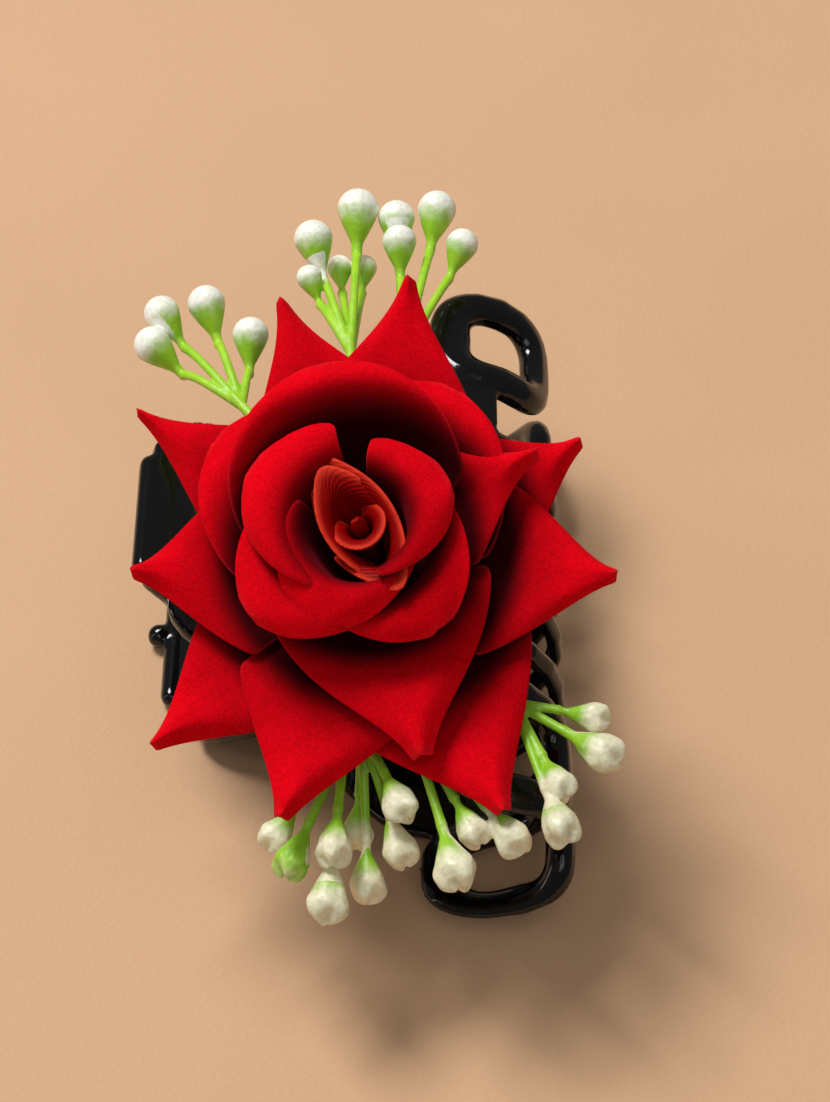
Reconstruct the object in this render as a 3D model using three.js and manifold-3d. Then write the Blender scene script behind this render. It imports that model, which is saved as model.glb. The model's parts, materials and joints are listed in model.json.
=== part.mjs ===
// A flower hair claw: two sprung plastic jaws on a hinge pin, with a fabric rose and sprays of
// small buds glued to the upper jaw. Millimetres, +Z up. The claw lies on the flat pad of its
// lower jaw, and the origin is the middle of that pad.
//
// The jaws are drawn in the claw's own frame, which sits on the hinge axis: x runs from the
// levers to the teeth, y along the hinge pin and z from the lower jaw to the upper jaw.

import * as THREE from 'three';
import Module from 'manifold-3d';
import { mergeVertices } from 'three/addons/utils/BufferGeometryUtils.js';

const wasm = await Module();
wasm.setup();

// ---------------------------------------------------------------- driving dimensions

const HINGE_X = -18.7;            // hinge axis, from the resting pad's middle
const HINGE_Z = 18.5;             // height of the hinge axis over the resting surface
const ROLL = -4;                  // degrees that the claw leans about the hinge axis

const BELLY = 19;                 // height of a jaw's belly over the closing plane
const SHELL = 2.4;                // wall of a jaw
const SHELL_NEAR = -31.5;         // ends of the jaw's shell along the pin
const SHELL_FAR = 34;
const UPPER_NEAR_RING = -36;      // middles of the end rings along the pin
const LOWER_NEAR_RING = -38.6;
const FAR_RING = 42;
const RING_HALF = 7.9;            // half a ring's length along the pin, to the middle of its bar
const RING_BAR = 4.8;             // thickness of the bar that bends round each end ring
const RING_BROAD = 1.3;           // how much wider than thick that bar is
const RING_HEEL = 0.25;           // how much wider still it is on the side towards the hinge
const RING_BEND = 0.24;           // slope at which the near rings bend inwards
const BEND_START = -19;           // where along the pin that bend starts
const TOOTH_PITCH = 10;           // teeth of one jaw stand this far apart
const TOOTH_WIDTH = 4.4;

const PIN_RADIUS = 1.2;
const PIN_HALF = 23.4;            // half the pin's length
const KNUCKLE_RADIUS = 3.2;
const PIN_PLAY = 0.3;             // clearance round the pin and between knuckles
const UPPER_KNUCKLE = [10, 16];   // where the knuckles stand, on each side of the middle
const LOWER_KNUCKLE = [16.4, 22.4];

const LEVER_TIP = -24.5;          // how far the levers reach behind the hinge
const UPPER_LEVER_RISE = 19;      // how high their tips stand over the closing plane
const LOWER_LEVER_RISE = 15.5;
const LEVER_MIDDLE = 8;           // middle of the levers along the pin
const TAB_HALF = 13;              // half width of the lever's tab
const WING_HALF = 25;             // half width of the lever with its wings
const LIP_RADIUS = 1.9;           // the rounded edge along the tab's tip
const TAIL_RADIUS = 2.1;          // the small round tail on the lower lever

const PANEL_X = 13.5;             // middle of the glued panel on the upper jaw, in the claw frame
const PANEL_Y = -9;
const FELT_HEIGHT = 0.3;          // underside of the felt over the panel
const FELT_RADIUS = 10;
const FELT_THICKNESS = 1.2;
const GLUE_HEIGHT = 1.8;          // underside of the glue over the panel

const ROSE_BASE = new THREE.Vector3(-6.9, -11.6, 45.4);
const ROSE_LEAN_NEAR = 22;        // degrees that the rose leans from upright, towards -Y
const ROSE_LEAN_LEFT = 7;         // and towards -X
const PETAL_THICKNESS = 0.55;

// ---------------------------------------------------------------- materials

function material(color, roughness, metalness = 0) {
  return new THREE.MeshStandardMaterial({ color, roughness, metalness });
}

const BLACK_PLASTIC = material(0x0b0b0c, 0.18);
const STEEL = material(0xb8b8b8, 0.3, 1);
const FELT = material(0x15120f, 0.95);
const GLUE = material(0xeadf9a, 0.35);
const VELVET = material(0xb40a18, 0.9);
const SATIN = material(0xc8281c, 0.5);
const GREEN = material(0x5fae2e, 0.45);

// ---------------------------------------------------------------- solids

const SHORTEST_EDGE = 0.03;

function toSolid(geometry) {
  const bare = geometry.clone();
  for (const name of Object.keys(bare.attributes)) {
    if (name !== 'position') bare.deleteAttribute(name);
  }
  const merged = mergeVertices(bare, 1e-4);
  const vertProperties = new Float32Array(merged.attributes.position.array);
  const triVerts = new Uint32Array(merged.index.array);
  return new wasm.Manifold(new wasm.Mesh({ numProp: 3, vertProperties, triVerts }));
}

// The shortest edges that joining and cutting leave behind are closed up on the way out.
function toGeometry(solid) {
  const mesh = solid.simplify(SHORTEST_EDGE).getMesh();
  const geometry = new THREE.BufferGeometry();
  geometry.setAttribute('position', new THREE.BufferAttribute(mesh.vertProperties, 3));
  geometry.setIndex(new THREE.BufferAttribute(mesh.triVerts, 1));
  geometry.computeVertexNormals();
  return geometry;
}

function join(geometries) {
  return geometries.map(toSolid).reduce((whole, piece) => whole.add(piece));
}

// Moves every vertex of a closed geometry through a function of its position.
function bend(geometry, place) {
  const bent = geometry.clone();
  const position = bent.attributes.position;
  const point = new THREE.Vector3();
  for (let i = 0; i < position.count; i += 1) {
    point.fromBufferAttribute(position, i);
    const moved = place(point.x, point.y, point.z);
    position.setXYZ(i, moved.x, moved.y, moved.z);
  }
  return bent;
}

// The mirror image in the closing plane, with its faces turned outwards again.
function mirrored(geometry) {
  const flat = geometry.index ? geometry.toNonIndexed() : geometry.clone();
  const position = flat.attributes.position;
  for (let i = 0; i < position.count; i += 3) {
    const first = new THREE.Vector3().fromBufferAttribute(position, i);
    const last = new THREE.Vector3().fromBufferAttribute(position, i + 2);
    position.setXYZ(i, last.x, last.y, -last.z);
    position.setXYZ(i + 2, first.x, first.y, -first.z);
    position.setZ(i + 1, -position.getZ(i + 1));
  }
  return flat;
}

function smooth(from, to, value) {
  return THREE.MathUtils.smoothstep(value, from, to);
}

function mesh(name, geometry, look) {
  const node = new THREE.Mesh(geometry, look);
  node.name = name;
  return node;
}

// ---------------------------------------------------------------- the jaws

// Middle line of a jaw's wall in the claw frame, from the hinge over the belly to a tooth's tip.
const PANEL_SLOPE = Math.tan(THREE.MathUtils.degToRad(-ROLL));
const BELLY_LINE = new THREE.SplineCurve([
  new THREE.Vector2(0.6, 4.9),
  new THREE.Vector2(2.6, 12.5),
  new THREE.Vector2(7.5, BELLY - 0.7),
  new THREE.Vector2(16, BELLY - 0.2),
  new THREE.Vector2(25, BELLY + 9 * PANEL_SLOPE),
  new THREE.Vector2(33, BELLY - 2.2),
  new THREE.Vector2(38.2, BELLY - 9.5),
  new THREE.Vector2(39.6, 1),
  new THREE.Vector2(38.2, -5.2),
]);
BELLY_LINE.arcLengthDivisions = 200;
const BELLY_LENGTH = BELLY_LINE.getLength();

function leverLine(rise) {
  return new THREE.SplineCurve([
    new THREE.Vector2(1.2, 5.0),
    new THREE.Vector2(-4, 6.6),
    new THREE.Vector2(-12, rise * 0.6),
    new THREE.Vector2(-20, rise - 1.8),
    new THREE.Vector2(LEVER_TIP + 1, rise),
  ]);
}

// How much lower the belly runs at y, where the near end of the jaw bends inwards.
function endDrop(y) {
  const past = Math.max(0, BEND_START - y);
  return RING_BEND * past * past / (past + 4);
}

// A point of the upper jaw: along its wall, along the pin, and outwards from the wall's middle.
function onBelly(along, y, out) {
  const t = THREE.MathUtils.clamp(along / BELLY_LENGTH, 0, 1);
  const point = BELLY_LINE.getPointAt(t);
  const tangent = BELLY_LINE.getTangentAt(t);
  const height = point.y + tangent.x * out;
  const shrink = 1 - endDrop(y) / BELLY * smooth(0, BELLY, point.y);
  return new THREE.Vector3(point.x - tangent.y * out, y, height * shrink);
}

// How far along the wall the middle line reaches a given x on its way over the belly.
function alongAt(x) {
  let low = 0.1 * BELLY_LENGTH;
  let high = 0.8 * BELLY_LENGTH;
  for (let i = 0; i < 30; i += 1) {
    const middle = (low + high) / 2;
    if (BELLY_LINE.getPointAt(middle / BELLY_LENGTH).x < x) low = middle;
    else high = middle;
  }
  return (low + high) / 2;
}

// A wall of even thickness along a line in the x-z plane, between two places on the pin.
function wall(line, steps, thickness, near, far, slices) {
  const outer = [];
  const inner = [];
  for (let i = 0; i <= steps; i += 1) {
    const point = line.getPointAt(i / steps);
    const tangent = line.getTangentAt(i / steps);
    const side = new THREE.Vector2(-tangent.y, tangent.x).multiplyScalar(thickness / 2);
    outer.push(point.clone().add(side));
    inner.unshift(point.clone().sub(side));
  }
  const outline = new THREE.Shape([...outer, ...inner]);
  const slab = new THREE.ExtrudeGeometry(outline, {
    depth: far - near, steps: slices, bevelEnabled: false });
  // the outline's second axis becomes z, so the slab's depth runs along -y
  slab.rotateX(Math.PI / 2);
  slab.translate(0, far, 0);
  return slab;
}

// The closed bar of an end ring, laid on the belly's curve. Its loop is drawn as a circle and
// pressed into a rounded square.
function endRing(middleY, leftX, rightX) {
  const left = alongAt(leftX);
  const right = alongAt(rightX) + 3;
  const middle = (left + right) / 2;
  const half = (right - left) / 2;
  const bar = RING_BAR / 2;
  const drawn = 20;
  const square = 0.62;
  const torus = new THREE.TorusGeometry(drawn, bar, 10, 32);
  return bend(torus, (x, y, z) => {
    const turn = Math.atan2(y, x);
    const broad = RING_BROAD + RING_HEEL * Math.max(0, -Math.cos(turn));
    const radial = (Math.hypot(x, y) - drawn) * broad;
    const cx = half * Math.sign(Math.cos(turn)) * Math.abs(Math.cos(turn)) ** square;
    const cy = RING_HALF * Math.sign(Math.sin(turn)) * Math.abs(Math.sin(turn)) ** square;
    const reach = Math.hypot(cx, cy);
    const scale = (reach + radial) / reach;
    return onBelly(middle + cx * scale, middleY + cy * scale, z);
  });
}

// One tooth: a bar that grows out of the shell's edge and bends down past the closing plane.
function tooth(y) {
  const start = alongAt(27);
  const length = BELLY_LENGTH - 0.6 - start;
  const bar = new THREE.CylinderGeometry(1, 1, length, 6, 6);
  return bend(bar, (x, down, z) => {
    const t = 0.5 - down / length;
    const taper = 1 - 0.42 * t ** 2;
    const depth = (0.6 + 1.2 * smooth(0, 0.35, t)) * taper;
    return onBelly(start + t * length, y + x * TOOTH_WIDTH / 2 * taper, z * depth);
  });
}

// A tall prism on an outline in the x-y plane, to cut a wall's outline with.
function prism(outline) {
  const block = new THREE.ExtrudeGeometry(outline, { depth: 60, bevelEnabled: false, curveSegments: 5 });
  block.translate(0, 0, -30);
  return toSolid(block);
}

// The lever's outline from above: a wide tab in the middle and a lower wing on each side of it.
function leverOutline() {
  const outline = new THREE.Shape();
  const tab = TAB_HALF;
  const wing = WING_HALF;
  const tip = LEVER_TIP - 1;
  const notch = LEVER_TIP + 4.6;
  outline.moveTo(3, -wing + 3);
  outline.lineTo(-6, -wing + 1);
  outline.quadraticCurveTo(notch, -wing + 1, notch, -wing + 8);
  outline.bezierCurveTo(notch, -tab - 3, tip, -tab - 2, tip, -tab + 3);
  outline.lineTo(tip, tab - 3);
  outline.bezierCurveTo(tip, tab + 2, notch, tab + 3, notch, wing - 8);
  outline.quadraticCurveTo(notch, wing - 1, -6, wing - 1);
  outline.lineTo(3, wing - 3);
  const lever = prism(outline);
  return lever.translate([0, LEVER_MIDDLE, 0]);
}

// The belly's outline from above: narrow at the hinge, and as long as the rings need at the teeth.
function bellyOutline() {
  const outline = new THREE.Shape();
  outline.moveTo(-3, -18);
  outline.bezierCurveTo(9, -19, 8, SHELL_NEAR, 20, SHELL_NEAR);
  outline.lineTo(40, SHELL_NEAR);
  outline.lineTo(40, SHELL_FAR);
  outline.lineTo(20, SHELL_FAR);
  outline.bezierCurveTo(8, SHELL_FAR, 9, 23, -3, 23);
  return prism(outline);
}

function alongPin(radius, near, far, sides) {
  const rod = new THREE.CylinderGeometry(radius, radius, far - near, sides);
  rod.translate(0, (near + far) / 2, 0);
  return rod;
}

// Everything that both jaws have, drawn as the upper one and mirrored for the lower one.
function jaw({ knuckle, teethAt, leverRise, nearRing, nearRingLeft, lower }) {
  const place = (geometry) => toSolid(lower ? mirrored(geometry) : geometry);
  const [inside, outside] = knuckle;
  const shellEnd = alongAt(31.5) / BELLY_LENGTH;
  const shellPoints = [];
  for (let i = 0; i <= 12; i += 1) shellPoints.push(BELLY_LINE.getPointAt(shellEnd * i / 12));
  const shell = wall(new THREE.SplineCurve(shellPoints), 16, SHELL, SHELL_NEAR, SHELL_FAR, 6);
  const bent = bend(shell, (x, y, z) => (
    new THREE.Vector3(x, y, z * (1 - endDrop(y) / BELLY * smooth(0, BELLY, z)))));
  const lever = wall(leverLine(leverRise), 9, SHELL, LEVER_MIDDLE - WING_HALF, LEVER_MIDDLE + WING_HALF, 1);
  const lip = new THREE.CapsuleGeometry(LIP_RADIUS, 2 * TAB_HALF - 5, 3, 8);
  lip.translate(LEVER_TIP + 0.6, LEVER_MIDDLE, leverRise - 0.5);
  const pieces = [
    place(bent).intersect(bellyOutline()),
    place(lever).intersect(leverOutline()),
    place(lip),
    place(endRing(FAR_RING, 24.3, 36.4)),
    place(endRing(nearRing, nearRingLeft, 38.3)),
    ...teethAt.map((y) => place(tooth(y))),
  ];
  for (const side of [-1, 1]) {
    const near = side < 0 ? -outside : inside;
    const far = side < 0 ? -inside : outside;
    const web = new THREE.BoxGeometry(3.4, far - near, 5.4);
    web.translate(-0.2, (near + far) / 2, 2.9);
    pieces.push(toSolid(alongPin(KNUCKLE_RADIUS, near, far, 16)), place(web));
  }
  const bore = toSolid(alongPin(PIN_RADIUS + PIN_PLAY, -outside - 1, outside + 1, 12));
  return pieces.reduce((whole, piece) => whole.add(piece)).subtract(bore);
}

const TEETH_MIDDLE = 1;
const upperTeeth = [-2, -1, 0, 1, 2].map((k) => k * TOOTH_PITCH + TEETH_MIDDLE);
const lowerTeeth = [-2.5, -1.5, -0.5, 0.5, 1.5, 2.5].map((k) => k * TOOTH_PITCH + TEETH_MIDDLE);

function upperJaw() {
  return jaw({
    knuckle: UPPER_KNUCKLE,
    teethAt: upperTeeth,
    leverRise: UPPER_LEVER_RISE,
    nearRing: UPPER_NEAR_RING,
    nearRingLeft: 25,
    lower: false,
  });
}

// The lower jaw also has a small round tail on its lever.
function lowerJaw() {
  const solid = jaw({
    knuckle: LOWER_KNUCKLE,
    teethAt: lowerTeeth,
    leverRise: LOWER_LEVER_RISE,
    nearRing: LOWER_NEAR_RING,
    nearRingLeft: 20.5,
    lower: true,
  });
  const tail = new THREE.SphereGeometry(TAIL_RADIUS, 10, 8);
  tail.translate(LEVER_TIP - 2, LEVER_MIDDLE + 2, -LOWER_LEVER_RISE + 1);
  return solid.add(toSolid(tail));
}

// The resting pad is cut flat where the claw lies on the surface.
function cutFlat(solid) {
  const below = new THREE.BoxGeometry(120, 140, 20);
  below.translate(0, 0, -10);
  below.translate(-HINGE_X, 0, -HINGE_Z);
  below.rotateY(THREE.MathUtils.degToRad(-ROLL));
  return solid.subtract(toSolid(below));
}

const claw = new THREE.Group();
claw.position.set(HINGE_X, 0, HINGE_Z);
claw.rotation.y = THREE.MathUtils.degToRad(ROLL);

claw.add(mesh('front_jaw', toGeometry(upperJaw()), BLACK_PLASTIC));
claw.add(mesh('back_jaw', toGeometry(cutFlat(lowerJaw())), BLACK_PLASTIC));

// ---------------------------------------------------------------- hinge pin and spring

function hingePin() {
  const half = PIN_HALF;
  const head = PIN_RADIUS + 0.9;
  const outline = [
    new THREE.Vector2(0, -half - 1),
    new THREE.Vector2(head, -half - 1),
    new THREE.Vector2(head, -half),
    new THREE.Vector2(PIN_RADIUS, -half),
    new THREE.Vector2(PIN_RADIUS, half),
    new THREE.Vector2(0, half),
  ];
  return new THREE.LatheGeometry(outline, 16);
}
claw.add(mesh('hinge_pin', hingePin(), STEEL));

class SpringPath extends THREE.Curve {
  getPoint(t) {
    const turns = 7.4;
    const radius = 2.5;
    const half = 8;
    const arm = 0.12;
    const coil = THREE.MathUtils.clamp((t - arm) / (1 - 2 * arm), 0, 1);
    const angle = Math.PI * (0.7 + 2 * turns * coil);
    const point = new THREE.Vector3(
      radius * Math.cos(angle), half * (2 * coil - 1), radius * Math.sin(angle));
    const past = t < arm ? (arm - t) / arm : Math.max(0, (t - 1 + arm) / arm);
    const up = t < arm ? -1 : 1;
    point.x -= 9 * past;
    point.z += up * 3.4 * past;
    return point;
  }
}

function spring() {
  const wire = new THREE.Shape().absarc(0, 0, 0.45, 0, 2 * Math.PI, false);
  return new THREE.ExtrudeGeometry(wire, {
    steps: 72, curveSegments: 3, bevelEnabled: false, extrudePath: new SpringPath() });
}
claw.add(mesh('spring', spring(), STEEL));

// ---------------------------------------------------------------- pads and glue

const panel = new THREE.Group();
panel.position.set(PANEL_X, PANEL_Y, BELLY + SHELL / 2 + 0.5);
panel.rotation.y = THREE.MathUtils.degToRad(ROLL);
claw.add(panel);

function roundPad(radius, thickness, sides) {
  const pad = new THREE.CylinderGeometry(radius, radius, thickness, sides);
  pad.rotateX(Math.PI / 2);
  pad.translate(0, 0, thickness / 2);
  return pad;
}
const felt = mesh('felt_pad', roundPad(FELT_RADIUS, FELT_THICKNESS, 24), FELT);
felt.position.z = FELT_HEIGHT;
panel.add(felt);

// ---------------------------------------------------------------- the rose

const rose = new THREE.Group();
const sprays = new THREE.Group();
const clip = new THREE.Group();
clip.add(claw, rose, sprays);
rose.position.copy(ROSE_BASE);
rose.rotation.set(
  THREE.MathUtils.degToRad(ROSE_LEAN_NEAR), THREE.MathUtils.degToRad(-ROSE_LEAN_LEFT), 0);

// Each level is a bowl about the rose's axis, inside the one before it. A bowl's line runs from
// the cup out to its rim, as distance from the axis and height over the rose's base.
const LEVELS = [
  [[5.4, 0.6], [16, 3.4], [29, 7.4], [41, 9.4]],
  [[5.2, 1.6], [15, 6.4], [26, 11.2], [38, 13.2]],
  [[5.1, 2.6], [13.4, 9.6], [21, 14.6], [31, 15.6]],
  [[4.9, 3.6], [11.6, 12.0], [17.6, 17.4], [26, 18.0]],
  [[4.7, 4.6], [9.8, 13.6], [14.8, 19.2], [22, 19.8]],
  [[4.5, 5.6], [8.2, 15.0], [12.4, 20.8], [19.5, 21.2]],
  [[4.2, 6.6], [6.7, 16.2], [10, 22.4], [16.6, 22.8]],
  [[3.9, 7.6], [5.2, 17.2], [7.6, 23.2], [13.6, 24.2]],
].map((line) => new THREE.CubicBezierCurve(...line.map(([r, h]) => new THREE.Vector2(r, h))));

// A petal of one level: the angle of its middle and the half angle it may take up, in degrees,
// then its half width and its reach. A pointed petal narrows to a pinched tip, and its edges
// fold back near it. A round one rolls back a little at its rim.
function petal({ level, angle, sector, width, reach, round = false }) {
  const line = LEVELS[level];
  const stretch = reach / line.v3.x;
  const middle = THREE.MathUtils.degToRad(angle);
  const most = THREE.MathUtils.degToRad(sector);
  const surface = (a, b) => {
    const bowl = line.getPoint(a);
    const r = bowl.x * THREE.MathUtils.lerp(1, stretch, smooth(0.1, 1, a));
    const narrow = round
      ? Math.sqrt(Math.max(0.05, 1 - Math.max(0, (a - 0.45) / 0.56) ** 2.6))
      : 1 - 0.96 * Math.max(0, (a - 0.5) / 0.5) ** 1.3;
    const half = Math.max(width * (0.35 + 0.65 * smooth(0, 0.45, a)) * narrow, 0.8);
    const turn = middle + Math.min(half / r, most) * b;
    const fold = round ? 0.6 * smooth(0.75, 1, a) : 2.4 * b * b * smooth(0.45, 0.95, a);
    return new THREE.Vector3(r * Math.cos(turn), r * Math.sin(turn), bowl.y - fold);
  };
  const slab = new THREE.BoxGeometry(1, 1, 1, 6, 6, 1);
  const step = 0.01;
  return bend(slab, (x, y, z) => {
    const a = x + 0.5;
    const b = 2 * y;
    const ahead = surface(Math.min(a + step, 1), b).sub(surface(Math.max(a - step, 0), b));
    const across = surface(a, Math.min(b + step, 1)).sub(surface(a, Math.max(b - step, -1)));
    const out = ahead.cross(across).normalize();
    return surface(a, b).addScaledVector(out, z * PETAL_THICKNESS);
  });
}

const PETALS = {
  petal_back_left: { level: 0, angle: 109, sector: 18, width: 14, reach: 43 },
  petal_far_left: { level: 0, angle: 146, sector: 18, width: 12, reach: 42.5 },
  petal_low_left: { level: 0, angle: 221, sector: 33, width: 15, reach: 42.5 },
  petal_low_right: { level: 0, angle: 296, sector: 40, width: 20, reach: 43.5 },
  petal_far_right: { level: 0, angle: 28, sector: 17, width: 13, reach: 34.5 },
  petal_hidden_right: { level: 0, angle: 0, sector: 10, width: 6, reach: 30 },
  petal_back: { level: 1, angle: 82, sector: 42, width: 16, reach: 42.5 },
  petal_left: { level: 1, angle: 184, sector: 33, width: 18, reach: 34.5 },
  petal_front_left: { level: 1, angle: 252, sector: 33, width: 19, reach: 43 },
  petal_right: { level: 1, angle: 351, sector: 38, width: 17, reach: 36 },
  petal_curl_right: { level: 2, angle: 30, sector: 40, width: 12, reach: 29.5 },
  petal_front: { level: 2, angle: 282, sector: 55, width: 21, reach: 32 },
  petal_ring_left: { level: 2, angle: 138, sector: 45, width: 17, reach: 28, round: true },
  petal_ring_right: { level: 3, angle: 56, sector: 70, width: 20, reach: 26.5, round: true },
  petal_arch: { level: 4, angle: 106, sector: 60, width: 20, reach: 24, round: true },
  petal_crescent_right: { level: 4, angle: 305, sector: 65, width: 20, reach: 20.5, round: true },
  petal_crescent_left: { level: 5, angle: 208, sector: 60, width: 18, reach: 20, round: true },
  petal_inner_left: { level: 6, angle: 152, sector: 60, width: 17, reach: 17.5, round: true },
  petal_inner_right: { level: 6, angle: 22, sector: 62, width: 15, reach: 15.5, round: true },
  petal_front_cup: { level: 7, angle: 262, sector: 80, width: 15, reach: 13.8, round: true },
};

for (const [name, shape] of Object.entries(PETALS)) {
  rose.add(mesh(name, petal(shape), VELVET));
}

// The rolled bud: wraps that stand nearly upright round a small core. Each is drawn clockwise,
// so that its faces point out.
function budWrap(radius, flare, top, angle, sweep) {
  const slab = new THREE.BoxGeometry(1, 1, 1, 10, 3, 1);
  const middle = THREE.MathUtils.degToRad(angle);
  const half = THREE.MathUtils.degToRad(sweep / 2);
  const bottom = 8.6;
  return bend(slab, (x, y, z) => {
    const up = y + 0.5;
    const across = -2 * x;
    const turn = middle + half * across;
    const r = radius + flare * up ** 2 - z * PETAL_THICKNESS;
    const height = (top - bottom) * up * (1 - 0.3 * across ** 4);
    return new THREE.Vector3(r * Math.cos(turn), r * Math.sin(turn), bottom + height);
  });
}

function lathe(points, sides) {
  return new THREE.LatheGeometry(points.map(([r, h]) => new THREE.Vector2(r, h)), sides)
    .rotateX(Math.PI / 2);
}

rose.add(mesh('bud_core', lathe([[0, 8.6], [0.6, 8.6], [0.9, 19], [1.5, 23], [0, 24]], 12), SATIN));
rose.add(mesh('bud_wrap_inner', budWrap(1.35, 1.1, 24.6, 300, 300), SATIN));
rose.add(mesh('bud_wrap_middle', budWrap(2.15, 2.1, 25.2, 140, 260), SATIN));
rose.add(mesh('bud_wrap_outer', budWrap(3.0, 3.6, 25.4, 20, 150), SATIN));

const CUP_LINE = [[0, -1.6], [3.6, -1.6], [4.4, 0.2], [3.6, 3], [2.7, 7.8], [0, 8.2]];
rose.add(mesh('rose_cup', lathe(CUP_LINE, 16), GREEN));

// The pad of glue between the felt and the cup: a low dome with a socket where the cup sits.
function gluePad() {
  const dome = toSolid(lathe([[0, 0], [7.5, 0], [7.2, 1.0], [5.6, 2.0], [0, 2.6]], 20));
  clip.updateMatrixWorld(true);
  const toPad = panel.matrixWorld.clone().invert().multiply(rose.matrixWorld);
  const socket = lathe([[0, -2.0], [4.0, -2.0], [5.0, 0.2], [5.0, 4], [0, 4]], 16);
  socket.applyMatrix4(toPad);
  socket.translate(0, 0, -GLUE_HEIGHT);
  return toGeometry(dome.subtract(toSolid(socket)));
}
const glue = mesh('glue_pad', gluePad(), GLUE);
glue.position.z = GLUE_HEIGHT;
panel.add(glue);

// ---------------------------------------------------------------- sprays of buds

// A round tube through points, getting no thinner, with its ends closed.
function stem(points, radius) {
  const path = new THREE.CatmullRomCurve3(points);
  const section = new THREE.Shape();
  for (let i = 0; i < 4; i += 1) {
    const turn = i / 4 * 2 * Math.PI;
    section[i ? 'lineTo' : 'moveTo'](radius * Math.cos(turn), radius * Math.sin(turn));
  }
  const steps = 3;
  return new THREE.ExtrudeGeometry(section, { steps, bevelEnabled: false, extrudePath: path });
}

// A bud is a drop: narrow where its stem enters, and round at its tip.
function bud(centre, from, size) {
  const drop = lathe([[0, -0.62], [0.2, -0.42], [0.42, 0.1], [0.3, 0.4], [0, 0.5]], 6);
  drop.scale(size, size, size * 1.1);
  const along = centre.clone().sub(from).normalize();
  const turn = new THREE.Quaternion().setFromUnitVectors(new THREE.Vector3(0, 0, 1), along);
  drop.applyQuaternion(turn);
  drop.translate(centre.x, centre.y, centre.z);
  return drop;
}

// A spray: its stem from the root to the fork, then a twig and a bud for each branch.
function spray({ root, fork, buds, size = 6.2 }) {
  const start = new THREE.Vector3(...root);
  const middle = new THREE.Vector3(...fork);
  const bow = start.clone().lerp(middle, 0.55);
  bow.z += 0.6;
  const pieces = [stem([start, bow, middle], 0.75)];
  for (const [x, y, z, scale = 1] of buds) {
    const centre = new THREE.Vector3(x, y, z);
    const elbow = middle.clone().lerp(centre, 0.5).lerp(start.clone().lerp(centre, 0.78), 0.3);
    const back = middle.clone().lerp(start, 0.04);
    const end = centre.clone().lerp(elbow, 0.25 * size * scale / centre.distanceTo(elbow));
    pieces.push(stem([back, elbow, end], 0.55), bud(centre, elbow, size * scale));
  }
  return toGeometry(join(pieces));
}

const SPRAYS = {
  spray_back_left: {
    root: [-17, 6, 44.5], fork: [-30.5, 24, 46],
    buds: [[-42, 41, 46], [-43, 35, 45], [-35, 42, 47], [-28, 36, 46]] },
  spray_back: {
    root: [-10, 7, 44.5], fork: [-12, 36, 47],
    buds: [[-18, 56, 48], [-18.5, 48.5, 47, 0.75], [-11, 63, 48], [-14, 57, 41, 0.75], [-10, 57, 41, 0.75]] },
  spray_back_right: {
    root: [-4, 7, 44.5], fork: [-3, 36, 47],
    buds: [[-4.5, 63, 47], [-4, 54.5, 49, 0.9], [2, 63, 48], [6, 55, 48, 0.8]] },
  spray_front_left: {
    root: [-11, -22, 42], fork: [-12, -38, 33],
    buds: [[-21.5, -47, 28, 0.9], [-19, -52, 29], [-14, -57.5, 27, 1.15], [-13.2, -51.5, 31.5]] },
  spray_front: {
    root: [-8, -21, 42], fork: [-9.5, -36, 34],
    buds: [[-10, -45, 26, 0.9], [-8.5, -53, 24.5], [-4, -46, 34.5], [-4, -50, 29]] },
  spray_front_middle: {
    root: [-4, -21, 42.2], fork: [-2, -37, 38],
    buds: [[4, -57, 34.5, 1.15], [6.5, -51, 35, 0.9], [12, -52.5, 35.5]] },
  spray_front_right: {
    root: [-0.5, -20, 42.4], fork: [15, -34, 39.5],
    buds: [[24, -35, 40, 0.85], [25, -41, 40, 1.1], [19, -46.5, 40, 0.9], [19, -53.5, 40, 1.05]] },
};

for (const [name, shape] of Object.entries(SPRAYS)) {
  sprays.add(mesh(name, spray(shape), GREEN));
}

export default clip;
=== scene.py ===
"""A flower hair claw: black sprung jaws, a velvet rose and sprays of small plastic buds.

The frame is in metres. The maker's dimensions here are in millimetres and go through MM.
"""
import json
import math

import bpy
import numpy as np
from mathutils import Matrix, Vector, noise


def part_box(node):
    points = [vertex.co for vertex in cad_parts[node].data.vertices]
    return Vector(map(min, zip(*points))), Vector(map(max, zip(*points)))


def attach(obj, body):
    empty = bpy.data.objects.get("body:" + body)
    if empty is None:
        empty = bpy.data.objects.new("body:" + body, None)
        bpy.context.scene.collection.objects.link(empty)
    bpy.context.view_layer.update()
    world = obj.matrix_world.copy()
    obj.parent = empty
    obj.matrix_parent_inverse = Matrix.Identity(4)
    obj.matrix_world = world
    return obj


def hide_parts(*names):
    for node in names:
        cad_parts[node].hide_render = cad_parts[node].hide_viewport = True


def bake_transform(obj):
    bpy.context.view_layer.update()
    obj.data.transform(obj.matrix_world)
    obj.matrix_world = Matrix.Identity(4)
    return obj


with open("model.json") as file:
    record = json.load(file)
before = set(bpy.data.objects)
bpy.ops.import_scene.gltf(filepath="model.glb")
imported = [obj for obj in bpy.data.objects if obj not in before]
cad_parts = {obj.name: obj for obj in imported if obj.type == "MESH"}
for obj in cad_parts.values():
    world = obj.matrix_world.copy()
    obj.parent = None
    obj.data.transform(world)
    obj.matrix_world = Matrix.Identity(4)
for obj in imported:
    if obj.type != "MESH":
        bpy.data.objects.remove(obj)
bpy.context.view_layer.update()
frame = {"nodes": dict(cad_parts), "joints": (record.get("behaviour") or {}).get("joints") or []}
MM = 0.001

# ---------------------------------------------------------------- camera, floor and lights

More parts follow.
